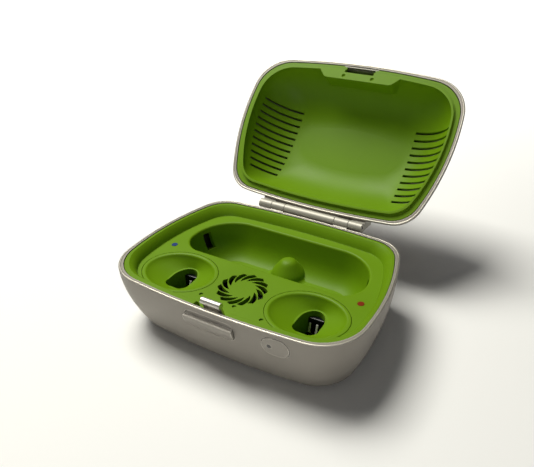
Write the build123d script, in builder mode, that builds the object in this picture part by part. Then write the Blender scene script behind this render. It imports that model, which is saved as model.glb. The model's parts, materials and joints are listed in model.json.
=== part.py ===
"""Hearing aid dryer: a clamshell charging case with a drying fan under its deck.

Millimetres. +Z is up, the front is towards -Y, and the origin is on the underside, below the middle of
the case. The lid pieces are drawn closed, then turned back about the hinge to the open rest pose.
"""
import os
from math import cos, radians, sin, sqrt
from build123d import *

os.makedirs("parts", exist_ok=True)

# ------------------------------------------------------------------ driving sizes
# Case outline: four shallow arcs joined by corner radii, wider at the front than at the hinge.
case_width = 110.0
case_depth = 77.0
front_bow = 3.6
rear_bow = 2.3
front_corner_pull = 2.2
rear_corner_pull = 9.1
front_corner_radius = 18.2
rear_corner_radius = 13.8
corner_fade = 45.0

# Case height and walls. The base wall leans in towards the bottom, and the lid is a low dome.
base_height = 29.0
lid_height = 24.0
parting_gap = 0.4
wall = 1.6
floor_thickness = 1.8
pad_thickness = 1.2
pad_proud = 0.6
pad_inset = 12.5
bottom_inset = 7.8
wall_curve = 1.9
bottom_edge_radius = 2.4
crown_half_depth = 11.5
crown_curve = 1.5
rim_round = 0.35

# Green liner of the base: a band round the rim, a basin above the deck, and the deck itself.
liner_fit = 0.25
rim_drop = 0.35
rim_land = 1.0
front_land_extra = 0.9
deck_drop = 4.75
deck_thickness = 1.6
basin_slope = 2.7

# Rear trough.
trough_from_side = 12.8
trough_behind_cup = 16.2
trough_from_rear = 10.6
trough_front_radius = 9.6
trough_rear_radius = 18.9
trough_above_board = 0.75
trough_floor_inset = 8.4
trough_wall = 1.5
trough_edge_round = 0.9
trough_steps = ((0, 0), (0.25, 0.06), (0.5, 0.17), (0.72, 0.36), (0.88, 0.62), (1, 1))
hump_height = 8.4
hump_radius = 10.5
hump_steps = ((0.26, 0.94), (0.48, 0.66), (0.72, 0.22))
pip_radius = 0.8
pip_depth = 0.6
side_vent_width = 4.0
side_vent_height = 8.0
side_vent_from_rear = 12.5
side_vent_drop = 2.6

# Charging cups.
cup_side_land = 8.1
cup_centre_land = 12.7
cup_from_front = 21.1
cup_half_depth = 13.6
cup_gap = 0.15
cup_lip = 1.75
cup_ledge = 1.5
cup_proud = 0.1
cup_wall = 1.2
cup_collar = 1.2
cup_collar_height = 1.6
bowl_depth = 4.9
bowl_curve = 1.35
bowl_edge_round = 1.1
pocket_outwards = 0.4
pocket_backwards = 1.9
pocket_half_width = 5.15
pocket_half_depth = 7.0
pocket_front_radius = 2.8
pocket_above_board = 1.15
block_gap = 0.15
block_base_thickness = 0.95
block_back_thickness = 1.9
block_height = 8.4
contact_width = 0.8
contact_thickness = 0.3
contact_height = 6.2
contact_bow = 1.6
contact_offsets = (-2.6, 0.5)
marker_from_side = 10.1
marker_behind_cup = 15.1
marker_radius = 1.4
marker_depth = 1.0

# Swirl grille, fan and heater.
grille_from_front = 22.9
grille_radius = 10.3
grille_hub_radius = 5.3
grille_slots = 14
fan_size = 21.6
fan_height = 6.0
fan_bore_radius = 10.2
fan_plate = 1.0
motor_radius = 3.7
motor_height = 2.4
impeller_hub_radius = 4.8
impeller_wall = 0.8
impeller_height = 3.7
impeller_clearance = 0.35
blade_count = 9
blade_tip_gap = 0.5
blade_thickness = 0.6
blade_pitch = 42.0
fan_shaft_radius = 0.6
fan_post_offset = 9.3
fan_post_radius = 1.4
fan_post_height = 2.5
duct_wall = 1.0
duct_window_height = 3.7
heater_size = 12.0
heater_thickness = 1.5
fin_plate = 19.2
fin_gap = 1.0

# Hinge.
hinge_setback = 2.9
barrel_radius = 2.1
hinge_pin_radius = 0.8
running_gap = 0.05
knuckle_joint_inner = 13.0
knuckle_joint_outer = 19.9
knuckle_end = 26.5
knuckle_gap = 0.25
hinge_leaf_height = 10.5
leaf_set_back = 1.2
open_angle = 135.0

# Latch.
latch_width = 21.6
latch_slot_height = 8.4
latch_below_rim = 6.35
latch_gap = 0.2
latch_groove = 0.25
latch_scoop_height = 2.0
latch_scoop_depth = 0.5
latch_travel = 0.7
latch_proud = 1.1
hook_half_width = 4.25
hook_bar_radius = 1.35
hook_bar_from_front = 3.1
hook_bar_above_rim = 1.95
hook_lip_gap = 0.15
hook_pivot_from_front = 6.3
hook_pivot_below_rim = 16.5
hook_thickness = 0.9
hook_eye_radius = 1.5
hook_pin_radius = 0.75
notch_half_width = 7.7
lug_gap = 0.3
lug_thickness = 1.6
catch_half_length = 9.0
catch_thickness = 0.6
catch_bite = 0.75

# Power button.
power_from_side = 27.3
power_below_rim = 6.1
power_board_half_width = 7.2
power_width = 10.8
power_height = 8.4
power_gap = 0.2
power_proud = 0.2
power_travel = 0.4
lens_offset = -2.4
lens_radius = 0.85

# Lid liner.
lid_liner_wall = 1.2
lid_liner_space = 2.2
flange_drop = 0.3
flange_thickness = 1.3
flange_land = 2.6
lip_height = 1.4
lip_width = 0.9
lid_vent_count = 11
lid_vent_pitch = 3.75
lid_vent_first_y = -14.9
lid_vent_width = 1.2
lid_vent_start_x = 31.0
lid_vent_rise = 4.6
catch_pad_half_width = 22.0
catch_pad_taper = 4.6
catch_pad_flare = 4.9
catch_pad_corner = 3.2
catch_pad_reach = 9.8
catch_pad_depth = 7.3
catch_slot_half_width = 7.5

# Electronics and screws.
board_thickness = 1.2
board_inset = 9.3
ballast_width = 64.0
ballast_from_front = 19.0
ballast_thickness = 2.0
board_clearance = 0.4
case_screw_from_side = 17.0
case_screw_behind_cup = 15.2
rear_screw_from_rear = 18.0
case_screw_radius = 1.0
case_screw_head = 2.2
case_screw_head_height = 1.4
case_screw_bite = 6.0
cross_long = 2.6
cross_short = 0.6
case_boss_radius = 3.4
case_boss_height = 2.6
case_post_radius = 2.4
board_screw_front_x = 14.5
board_screw_from_front = 13.0
board_screw_rear_x = 17.0
board_screw_from_rear = 11.5
board_screw_radius = 0.8
board_screw_head = 1.8
screw_gap = 0.1
chip_size = 8.0
chip_behind_trough_front = 1.2
usb_width = 8.9
usb_height = 3.2
usb_length = 7.3
lead_radius = 0.4

# ------------------------------------------------------------------ worked-out sizes
half_depth = case_depth / 2
crown_inset = half_depth - crown_half_depth
cup_half_width = (case_width / 2 - cup_side_land - cup_centre_land) / 2
cup_x = cup_centre_land + cup_half_width
cup_y = cup_from_front - half_depth
pocket_x = cup_x + pocket_outwards
pocket_y = cup_y + pocket_backwards
marker_x = case_width / 2 - marker_from_side
marker_y = cup_y + marker_behind_cup
grille_y = grille_from_front - half_depth
trough_half_width = case_width / 2 - trough_from_side
trough_front = cup_y + trough_behind_cup
trough_rear = half_depth - trough_from_rear
trough_back_round = min(trough_rear_radius, trough_rear - trough_front - trough_front_radius - 0.5)
side_vent_y = trough_rear - side_vent_from_rear
case_screw_x = case_width / 2 - case_screw_from_side
case_screw_y = cup_y + case_screw_behind_cup
rear_screw_y = half_depth - rear_screw_from_rear
latch_z = base_height - latch_below_rim
power_x = case_width / 2 - power_from_side
power_z = base_height - power_below_rim
hook_bar_y = hook_bar_from_front - half_depth
hook_bar_z = base_height + hook_bar_above_rim
hook_pivot_y = hook_pivot_from_front - half_depth
hook_pivot_z = base_height - hook_pivot_below_rim
floor_bottom = pad_proud
floor_top = floor_bottom + floor_thickness
liner_inset = wall + liner_fit
liner_top = base_height - rim_drop
deck_top = base_height - deck_drop
deck_under = deck_top - deck_thickness
lid_rim = base_height + parting_gap
lid_top = lid_rim + lid_height
flange_bottom = lid_rim + flange_drop
flange_top = flange_bottom + flange_thickness
catch_rear = hook_bar_y - hook_bar_radius + catch_bite
catch_front = catch_rear - catch_thickness
catch_top = flange_bottom + catch_thickness
lid_liner_offset = wall + lid_liner_space
hinge_y = half_depth + hinge_setback
hinge_z = base_height + parting_gap / 2
hinge_axis = Axis((0, hinge_y, hinge_z), (1, 0, 0))
ballast_top = floor_top + ballast_thickness
board_under = ballast_top + board_clearance
board_top = board_under + board_thickness
trough_floor = board_top + trough_above_board + trough_wall
boss_top = floor_top + case_boss_height
screw_seat = floor_bottom + floor_thickness + pad_proud
recess_top = pad_thickness
bowl_bottom = deck_top - bowl_depth
bowl_end_width = pocket_half_width + 0.9
bowl_end_depth = pocket_half_depth + 0.6
pocket_floor = board_top + pocket_above_board + cup_wall
cup_flange_bottom = deck_top - cup_ledge
collar_bottom = deck_under - cup_collar_height
fan_bottom = deck_under - fan_height
fan_half = fan_size / 2
pip_points = ((17.2 - cup_x, cup_y - 8.4), (3.2, grille_y - 10.6), (cup_x - 13.4, cup_y - 10.6))
case_screw_points = ((case_screw_x, case_screw_y), (-case_screw_x, case_screw_y), (0, rear_screw_y))
board_screw_points = (
    (board_screw_front_x, board_screw_from_front - half_depth),
    (-board_screw_front_x, board_screw_from_front - half_depth),
    (board_screw_rear_x, half_depth - board_screw_from_rear),
    (-board_screw_rear_x, half_depth - board_screw_from_rear),
)
fan_post_points = (
    (-fan_post_offset, grille_y - fan_post_offset),
    (fan_post_offset, grille_y + fan_post_offset),
)
slot_bottom = latch_z - latch_slot_height / 2
slot_top = latch_z + latch_slot_height / 2


# ------------------------------------------------------------------ shared outlines
def case_sketch(height, inset, front_extra=0.0):
    """The case outline at a height, moved inwards by inset and, at the front only, by front_extra more."""
    half_width = case_width / 2 - inset
    front = half_depth - inset - front_extra
    rear = half_depth - inset
    front_right = (half_width - front_corner_pull, -(front - front_bow))
    rear_right = (half_width - rear_corner_pull, rear - rear_bow)
    rear_left = (-rear_right[0], rear_right[1])
    front_left = (-front_right[0], front_right[1])
    radius_share = 1 - inset / corner_fade
    with BuildSketch(Plane.XY.offset(height)) as outline:
        with BuildLine():
            ThreePointArc(front_left, (0, -front), front_right)
            ThreePointArc(front_right, (half_width, 0), rear_right)
            ThreePointArc(rear_right, (0, rear), rear_left)
            ThreePointArc(rear_left, (-half_width, 0), front_left)
        make_face()
        fillet(outline.vertices().group_by(Axis.Y)[0], front_corner_radius * radius_share)
        fillet(outline.vertices().group_by(Axis.Y)[-1], rear_corner_radius * radius_share)
    return outline.sketch


def base_inset(height):
    """How far the base wall stands inside the rim outline at a height."""
    below = max(0.0, floor_bottom + bottom_edge_radius - height)
    edge = bottom_edge_radius - sqrt(bottom_edge_radius**2 - below**2)
    return bottom_inset * (1 - height / base_height) ** wall_curve + edge


def dome_inset(depth, offset):
    """How far the lid wall stands inside the rim outline at a depth above the rim."""
    share = min(1.0, depth / (lid_height - offset))
    return offset + (crown_inset - offset) * (1 - sqrt(1 - share**crown_curve))


def base_solid(offset, low, high, stations):
    """The base's outer shape between two heights, moved inwards by offset."""
    with BuildPart() as body:
        for share in stations:
            height = low + share * (high - low)
            add(case_sketch(height, base_inset(height) + offset))
        loft()
    return body.part


def base_envelope(offset):
    """The whole outside of the base, moved inwards by offset."""
    edge_top = floor_bottom + bottom_edge_radius
    with BuildPart() as body:
        add(base_solid(offset, floor_bottom, edge_top, (0, 0.25, 0.55, 0.8, 1)))
        add(base_solid(offset, edge_top, base_height, (0, 0.25, 0.5, 0.75, 1)))
    return body.part


def dome_solid(offset):
    """The closed lid's dome, moved inwards by offset."""
    with BuildPart() as body:
        for share in (0, 0.2, 0.4, 0.58, 0.74, 0.87, 0.955, 1):
            depth = share * (lid_height - offset)
            add(case_sketch(lid_rim + depth, dome_inset(depth, offset)))
        loft()
    return body.part


def trough_solid(grow, bottom):
    """The trough from the deck's top down to bottom, moved outwards by grow."""
    with BuildPart() as body:
        for depth_share, inset_share in trough_steps:
            grow_now = grow - inset_share * trough_floor_inset
            with BuildSketch(Plane.XY.offset(deck_top + depth_share * (bottom - deck_top))) as tier:
                with BuildLine():
                    Polyline(
                        (-trough_half_width - grow_now, trough_front - grow_now),
                        (trough_half_width + grow_now, trough_front - grow_now),
                        (trough_half_width + grow_now, trough_rear + grow_now),
                        (-trough_half_width - grow_now, trough_rear + grow_now),
                        close=True,
                    )
                make_face()
                fillet(tier.vertices().group_by(Axis.Y)[0], trough_front_radius + grow_now)
                fillet(tier.vertices().group_by(Axis.Y)[-1], trough_back_round + grow_now)
        loft()
    return body.part


def bowl_solid(mouth, grow, drop):
    """One cup's dish from the height mouth down to the pocket, moved outwards by grow and down by drop."""
    with BuildPart() as body:
        for share in (0, 0.3, 0.55, 0.78, 1):
            spread = 1 - share**bowl_curve
            half_width = bowl_end_width + spread * (cup_half_width - cup_lip - bowl_end_width)
            half_reach = bowl_end_depth + spread * (cup_half_depth - cup_lip - bowl_end_depth)
            centre = (pocket_x + spread * (cup_x - pocket_x), pocket_y + spread * (cup_y - pocket_y))
            with BuildSketch(Plane.XY.offset(mouth + share * (bowl_bottom - drop - mouth))):
                with Locations(centre):
                    Ellipse(half_width + grow, half_reach + grow)
        loft()
    return body.part


def pocket_sketch(height, grow):
    """The right pocket's outline at a height: square towards the front and round behind."""
    half_width = pocket_half_width + grow
    half_reach = pocket_half_depth + grow
    left = pocket_x - half_width
    right = pocket_x + half_width
    front = pocket_y - half_reach
    with BuildSketch(Plane.XY.offset(height)) as outline:
        with BuildLine():
            Polyline((left, pocket_y), (left, front), (right, front), (right, pocket_y))
            EllipticalCenterArc((pocket_x, pocket_y), half_width, half_reach, 0, arc_size=180)
        make_face()
        fillet(outline.vertices().group_by(Axis.Y)[0], pocket_front_radius + grow)
    return outline.sketch


def front_plane(y):
    """A plane facing the front at y, with X to the right and Z up."""
    return Plane.XZ.offset(-y)


def block(x, y, z, mode=Mode.ADD):
    """A square-cornered block between x, y and z limits."""
    with Locations((x[0], y[0], z[0])):
        Box(x[1] - x[0], y[1] - y[0], z[1] - z[0], align=(Align.MIN, Align.MIN, Align.MIN), mode=mode)


def post(centre, radius, low, high, mode=Mode.ADD):
    """An upright cylinder between two heights."""
    with Locations((centre[0], centre[1], low)):
        Cylinder(radius, high - low, align=(Align.CENTER, Align.CENTER, Align.MIN), mode=mode)


def rod(y, z, radius, left, right, mode=Mode.ADD):
    """A cylinder along X between left and right."""
    with Locations(Plane.YZ.offset(left)):
        with Locations((y, z)):
            Cylinder(radius, right - left, align=(Align.CENTER, Align.CENTER, Align.MIN), mode=mode)


def plate(points, left, right, mode=Mode.ADD):
    """A flat piece with the outline points in Y and Z, between left and right."""
    with BuildSketch(Plane.YZ.offset(left)) as outline:
        with BuildLine():
            Polyline(*points, close=True)
        make_face()
    extrude(outline.sketch, amount=right - left, mode=mode)


def opened(closed):
    """A lid piece turned back about the hinge to its open rest pose."""
    return closed.rotate(hinge_axis, -open_angle)


base_outside = base_envelope(0)
dome_outside = dome_solid(0)
trough_inside = trough_solid(0, trough_floor)

# ------------------------------------------------------------------ base shell
cavity = base_solid(wall, floor_top, base_height, (0, 0.25, 0.5, 0.75, 1))

with BuildPart() as base_shell:
    add(base_outside)
    fillet(base_shell.faces().sort_by(Axis.Z)[-1].edges(), rim_round)
    add(cavity, mode=Mode.SUBTRACT)
    for centre in case_screw_points:
        post(centre, case_boss_radius, floor_top, boss_top)
    for centre in board_screw_points:
        post(centre, board_screw_head + liner_fit, floor_top, board_under)
        post(centre, board_screw_radius, floor_top - 0.8, board_under, mode=Mode.SUBTRACT)
    # Recess for the rubber pad, with the case screws sunk in it.
    add(case_sketch(floor_bottom, pad_inset))
    extrude(amount=recess_top - floor_bottom, mode=Mode.SUBTRACT)
    for centre in case_screw_points:
        post(centre, case_screw_head + 2 * screw_gap, floor_bottom, screw_seat, mode=Mode.SUBTRACT)
        post(centre, case_screw_radius + screw_gap, floor_bottom, boss_top, mode=Mode.SUBTRACT)
    # Openings for the latch and the power button in the front wall.
    with BuildSketch(front_plane(-half_depth - 5)):
        with Locations((0, latch_z)):
            RectangleRounded(latch_width + 2 * latch_gap, latch_slot_height, 2.8 + latch_gap)
        with Locations((power_x, power_z)):
            SlotOverall(power_width + 2 * power_gap, power_height + 2 * power_gap)
    extrude(amount=-12, mode=Mode.SUBTRACT)
    # Charging inlet in the rear wall.
    with BuildSketch(front_plane(half_depth + 2)):
        with Locations((0, board_top + usb_height / 2)):
            SlotOverall(usb_width + 4 * screw_gap, usb_height + 4 * screw_gap)
    extrude(amount=10, mode=Mode.SUBTRACT)
base_shell.part.label = "base_shell"
export_step(base_shell.part, "parts/base_shell.step")

with BuildPart() as base_pad:
    add(case_sketch(0, pad_inset + screw_gap))
    extrude(amount=pad_thickness)
    fillet(base_pad.faces().sort_by(Axis.Z)[0].edges(), 0.3)
base_pad.part.label = "base_pad"
export_step(base_pad.part, "parts/base_pad.step")

with BuildPart() as case_screws:
    for centre in case_screw_points:
        post(centre, case_screw_head, screw_seat - case_screw_head_height, screw_seat)
        post(centre, case_screw_radius, screw_seat, boss_top + case_screw_bite)
        with BuildSketch(Plane.XY.offset(screw_seat - case_screw_head_height)):
            with Locations(centre):
                Rectangle(cross_long, cross_short)
                Rectangle(cross_short, cross_long)
        extrude(amount=0.8, mode=Mode.SUBTRACT)
case_screws.part.label = "case_screws"
export_step(case_screws.part, "parts/case_screws.step")

# ------------------------------------------------------------------ base liner
liner_front = -(half_depth - liner_inset)

with BuildPart() as basin:
    for height, extra, front_extra in (
        (deck_top, basin_slope, 0.0),
        (deck_top + 0.47 * (liner_top - deck_top), rim_land / 2 + basin_slope / 2, front_land_extra * 0.8),
        (liner_top, 0.0, front_land_extra),
    ):
        add(case_sketch(height, liner_inset + rim_land + extra, front_extra))
    loft()

grille_middle = (grille_hub_radius + grille_radius) / 2


def polar_point(radius, angle):
    """A point at a radius and an angle in degrees."""
    return (radius * cos(radians(angle)), radius * sin(radians(angle)))


# One crescent of the swirl grille, leaning 36 degrees round between the hub and the rim.
with BuildSketch() as grille_slot:
    with BuildLine():
        ThreePointArc(
            polar_point(grille_hub_radius, 3),
            polar_point(grille_middle, -11),
            polar_point(grille_radius, -34),
        )
        Line(polar_point(grille_radius, -34), polar_point(grille_radius - 0.8, -44.5))
        ThreePointArc(
            polar_point(grille_radius - 0.8, -44.5),
            polar_point(grille_middle - 0.9, -23),
            polar_point(grille_hub_radius, 3),
        )
    make_face()

# Rounded hump over the rear screw post, with a flared foot, kept inside the trough's wall.
hump_low = trough_floor - trough_wall / 2

with BuildPart() as hump:
    with BuildSketch(Plane(origin=(0, rear_screw_y, 0), x_dir=(1, 0, 0), z_dir=(0, -1, 0))) as hump_side:
        with BuildLine():
            Spline(
                (0, trough_floor + hump_height),
                *((reach * hump_radius, trough_floor + rise * hump_height) for reach, rise in hump_steps),
                (hump_radius, trough_floor - 0.1),
                tangents=((1, 0), (1, -0.1)),
            )
            Polyline(
                (hump_radius, trough_floor - 0.1),
                (hump_radius, hump_low),
                (0, hump_low),
                (0, trough_floor + hump_height),
            )
        make_face()
    revolve(hump_side.sketch, Axis((0, rear_screw_y, 0), (0, 0, 1)))
    add(trough_solid(trough_wall / 2, hump_low), mode=Mode.INTERSECT)

with BuildPart() as base_liner:
    # Band and deck, shaped like the inside of the shell.
    for height in (deck_under, (deck_under + liner_top) / 2, liner_top):
        add(case_sketch(height, base_inset(height) + liner_inset))
    loft()
    add(basin.part, mode=Mode.SUBTRACT)
    # Trough wall, screw posts and cup collars hang from the deck.
    add(trough_solid(trough_wall, trough_floor - trough_wall))
    for centre in case_screw_points[:2]:
        post(centre, case_post_radius, boss_top, deck_under)
    post(case_screw_points[2], case_post_radius, boss_top, trough_floor)
    with BuildSketch(Plane.XY.offset(collar_bottom)):
        for side in (-1, 1):
            with Locations((side * cup_x, cup_y)):
                Ellipse(cup_half_width + cup_collar, cup_half_depth + cup_collar)
    extrude(amount=deck_under - collar_bottom)
    for centre in fan_post_points:
        post(centre, fan_post_radius, deck_under - fan_post_height, deck_under)
    add(trough_inside, mode=Mode.SUBTRACT)
    mouth = base_liner.edges().filter_by_position(Axis.Z, deck_top - 0.01, deck_top + 0.01)
    mouth = mouth.filter_by_position(Axis.X, -trough_half_width - 0.1, trough_half_width + 0.1)
    mouth = mouth.filter_by_position(Axis.Y, trough_front - 0.1, trough_rear + 0.1)
    fillet(mouth, trough_edge_round)
    add(hump.part)
    for centre in case_screw_points:
        post(centre, case_screw_radius, boss_top, boss_top + case_screw_bite + 0.5, mode=Mode.SUBTRACT)
    # Seats and holes for the two charging cups.
    for low, high, share in ((cup_flange_bottom, deck_top, 0.0), (collar_bottom, cup_flange_bottom, 1.0)):
        with BuildSketch(Plane.XY.offset(low)):
            for side in (-1, 1):
                with Locations((side * cup_x, cup_y)):
                    Ellipse(cup_half_width - share * cup_ledge, cup_half_depth - share * cup_ledge)
        extrude(amount=high - low, mode=Mode.SUBTRACT)
    # Swirl grille over the fan.
    with BuildSketch(Plane.XY.offset(deck_under)):
        with Locations((0, grille_y)):
            with PolarLocations(0, grille_slots):
                add(grille_slot.sketch)
    extrude(amount=deck_thickness, mode=Mode.SUBTRACT)
    # Air vents high in the trough's two end walls.
    for side in (-1, 1):
        inner = side * (trough_half_width - trough_floor_inset)
        outer = side * (trough_half_width + 4 * trough_wall)
        block(
            (min(inner, outer), max(inner, outer)),
            (side_vent_y - side_vent_width / 2, side_vent_y + side_vent_width / 2),
            (deck_top - side_vent_drop - side_vent_height, deck_top - side_vent_drop),
            mode=Mode.SUBTRACT,
        )
    # Notch for the hook, and room behind the latch and the power button.
    block(
        (-notch_half_width, notch_half_width),
        (-half_depth, hook_pivot_y),
        (collar_bottom, base_height),
        mode=Mode.SUBTRACT,
    )
    block(
        (-latch_width / 2 - 1.7, latch_width / 2 + 1.7),
        (-half_depth, liner_front + 1.45),
        (deck_under, slot_top + 0.75),
        mode=Mode.SUBTRACT,
    )
    block(
        (power_x - power_width / 2 - 2.3, power_x + power_width / 2 + 2.3),
        (-half_depth, liner_front + 2.35),
        (deck_under, power_z + power_height / 2 + 0.5),
        mode=Mode.SUBTRACT,
    )
    # Lugs that carry the hook's pin.
    for side in (-1, 1):
        near = side * (hook_half_width + lug_gap)
        far = side * (hook_half_width + lug_gap + lug_thickness)
        left = min(near, far)
        right = max(near, far)
        plate(
            (
                (hook_pivot_y + 0.3, deck_under),
                (hook_pivot_y + 4.2, deck_under),
                (hook_pivot_y + 1.7, hook_pivot_z),
                (hook_pivot_y - 1.7, hook_pivot_z),
            ),
            left,
            right,
        )
        rod(hook_pivot_y, hook_pivot_z, hook_eye_radius + 0.2, left, right)
        rod(hook_pivot_y, hook_pivot_z, hook_pin_radius, left, right, mode=Mode.SUBTRACT)
    # Ribs that carry the button board.
    for left in (power_x - power_board_half_width, power_x + power_board_half_width - 1.5):
        block((left, left + 1.5), (hook_pivot_y, hook_pivot_y + 1.0), (hook_pivot_z + 2.5, deck_under))
    # Sockets for the side markers and three small location dimples.
    for side in (-1, 1):
        marker_place = (side * marker_x, marker_y)
        post(marker_place, marker_radius, deck_top - marker_depth, deck_top, mode=Mode.SUBTRACT)
    for centre in pip_points:
        post(centre, pip_radius, deck_top - pip_depth, deck_top, mode=Mode.SUBTRACT)
    for centre in fan_post_points:
        post(centre, 0.7, deck_under - fan_post_height, deck_under - 0.2, mode=Mode.SUBTRACT)
base_liner.part.label = "base_liner"
export_step(base_liner.part, "parts/base_liner.step")

for side, name in ((-1, "left_marker"), (1, "right_marker")):
    with BuildPart() as marker:
        marker_place = (side * marker_x, marker_y)
        post(marker_place, marker_radius - screw_gap / 2, deck_top - marker_depth, deck_top + 0.1)
        fillet(marker.faces().sort_by(Axis.Z)[-1].edges(), 0.1)
    marker.part.label = name
    export_step(marker.part, "parts/" + name + ".step")

# ------------------------------------------------------------------ charging cups
pin_pitch_points = [pocket_x + offset for offset in contact_offsets]
block_back_y = pocket_y + pocket_half_depth - block_gap
block_front_y = block_back_y - block_back_thickness
contact_foot = pocket_floor + block_base_thickness
contact_tip = pocket_floor + contact_height

with BuildPart() as right_charging_cup:
    with BuildSketch(Plane.XY.offset(cup_flange_bottom)):
        with Locations((cup_x, cup_y)):
            Ellipse(cup_half_width - cup_gap, cup_half_depth - cup_gap)
    extrude(amount=deck_top + cup_proud - cup_flange_bottom)
    fillet(right_charging_cup.faces().sort_by(Axis.Z)[-1].edges(), 0.3)
    add(bowl_solid(cup_flange_bottom, 0.1, cup_wall))
    add(pocket_sketch(pocket_floor - cup_wall, cup_wall))
    extrude(amount=bowl_bottom - pocket_floor)
    add(bowl_solid(deck_top + cup_proud, 0.0, 0.0), mode=Mode.SUBTRACT)
    fillet(right_charging_cup.faces().sort_by(Axis.Z)[-1].inner_wires().edges(), bowl_edge_round)
    add(pocket_sketch(pocket_floor, 0.0))
    extrude(amount=bowl_bottom - pocket_floor + 1.0, mode=Mode.SUBTRACT)
    for x in pin_pitch_points:
        block(
            (x - contact_width / 2, x + contact_width / 2),
            (block_front_y - contact_thickness, block_front_y),
            (pocket_floor - cup_wall, pocket_floor),
            mode=Mode.SUBTRACT,
        )
right_charging_cup.part.label = "right_charging_cup"
export_step(right_charging_cup.part, "parts/right_charging_cup.step")

with BuildPart() as right_contact_block:
    add(pocket_sketch(pocket_floor, -block_gap))
    extrude(amount=block_height)
    with BuildSketch(Plane.YZ.offset(pocket_x)):
        with Locations((pocket_y - pocket_half_depth, pocket_floor + block_base_thickness)):
            Rectangle(
                block_front_y - pocket_y + pocket_half_depth, block_height, align=(Align.MIN, Align.MIN)
            )
    extrude(amount=2 * pocket_half_width, both=True, mode=Mode.SUBTRACT)
    fillet(right_contact_block.edges().filter_by(Axis.X).group_by(Axis.Z)[-1], 0.6)
    for x in pin_pitch_points:
        block(
            (x - contact_width / 2, x + contact_width / 2),
            (block_front_y - contact_thickness, block_front_y),
            (pocket_floor, pocket_floor + block_base_thickness),
            mode=Mode.SUBTRACT,
        )
right_contact_block.part.label = "right_contact_block"
export_step(right_contact_block.part, "parts/right_contact_block.step")

with BuildPart() as right_contacts:
    for x in pin_pitch_points:
        plate(
            (
                (block_front_y, board_top),
                (block_front_y, contact_foot),
                (block_front_y - contact_bow + 0.4, contact_foot + contact_bow),
                (block_front_y, contact_tip),
                (block_front_y - contact_thickness, contact_tip),
                (block_front_y - contact_bow, contact_foot + contact_bow),
                (block_front_y - contact_thickness, contact_foot + 0.2),
                (block_front_y - contact_thickness, board_top),
            ),
            x - contact_width / 2,
            x + contact_width / 2,
        )
right_contacts.part.label = "right_contacts"
export_step(right_contacts.part, "parts/right_contacts.step")

with BuildPart() as left_charging_cup:
    mirror(right_charging_cup.part, about=Plane.YZ)
left_charging_cup.part.label = "left_charging_cup"
export_step(left_charging_cup.part, "parts/left_charging_cup.step")

with BuildPart() as left_contact_block:
    mirror(right_contact_block.part, about=Plane.YZ)
left_contact_block.part.label = "left_contact_block"
export_step(left_contact_block.part, "parts/left_contact_block.step")

with BuildPart() as left_contacts:
    mirror(right_contacts.part, about=Plane.YZ)
left_contacts.part.label = "left_contacts"
export_step(left_contacts.part, "parts/left_contacts.step")

# ------------------------------------------------------------------ fan and heater
fan_centre = (0, grille_y)
motor_bottom = fan_bottom + fan_plate
hub_bottom = motor_bottom + impeller_clearance
hub_top = hub_bottom + impeller_height

with BuildPart() as fan_frame:
    with BuildSketch(Plane.XY.offset(fan_bottom)):
        with Locations(fan_centre):
            RectangleRounded(fan_size, fan_size, 1.2)
            Circle(fan_bore_radius, mode=Mode.SUBTRACT)
    extrude(amount=fan_height)
    with BuildSketch(Plane.XY.offset(fan_bottom)):
        with Locations(fan_centre):
            Circle(motor_radius + 0.5)
            with PolarLocations(0, 3, 30):
                Rectangle(fan_bore_radius + 0.3, 1.4, align=(Align.MIN, Align.CENTER))
    extrude(amount=fan_plate)
    for centre in fan_post_points:
        hole_radius = fan_post_radius + screw_gap
        post(centre, hole_radius, deck_under - fan_post_height, deck_under, mode=Mode.SUBTRACT)
        post(centre, 0.9, fan_bottom, deck_under, mode=Mode.SUBTRACT)
fan_frame.part.label = "fan_frame"
export_step(fan_frame.part, "parts/fan_frame.step")

with BuildPart() as fan_motor:
    post(fan_centre, motor_radius, motor_bottom, motor_bottom + motor_height)
    shaft_hole = fan_shaft_radius + running_gap
    post(fan_centre, shaft_hole, motor_bottom, motor_bottom + motor_height, mode=Mode.SUBTRACT)
fan_motor.part.label = "fan_motor"
export_step(fan_motor.part, "parts/fan_motor.step")

with BuildPart() as fan_impeller:
    post(fan_centre, impeller_hub_radius, hub_bottom, hub_top)
    fillet(fan_impeller.faces().sort_by(Axis.Z)[-1].edges(), 0.5)
    hub_inside = impeller_hub_radius - impeller_wall
    post(fan_centre, hub_inside, hub_bottom, hub_top - impeller_wall, mode=Mode.SUBTRACT)
    post(fan_centre, fan_shaft_radius, motor_bottom + screw_gap, hub_top - impeller_wall)
    blade_reach = fan_bore_radius - blade_tip_gap - impeller_hub_radius + impeller_wall / 2
    blade_height = impeller_height - 2 * screw_gap
    blade_run = blade_height / sin(radians(blade_pitch)) - blade_thickness
    with Locations((0, grille_y, (hub_bottom + hub_top) / 2)):
        with PolarLocations(impeller_hub_radius - impeller_wall / 2, blade_count):
            Box(
                blade_reach,
                blade_thickness,
                blade_run,
                rotation=(90 - blade_pitch, 0, 0),
                align=(Align.MIN, Align.CENTER, Align.CENTER),
            )
fan_impeller.part.label = "fan_impeller"
export_step(fan_impeller.part, "parts/fan_impeller.step")

with BuildPart() as fan_screws:
    for centre in fan_post_points:
        post(centre, 1.3, fan_bottom - 0.7, fan_bottom)
        post(centre, 0.7, fan_bottom, deck_under - 0.6)
fan_screws.part.label = "fan_screws"
export_step(fan_screws.part, "parts/fan_screws.step")

duct_top = fan_bottom
duct_half = fan_half
ledge_low = board_top + duct_window_height + 0.3

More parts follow.
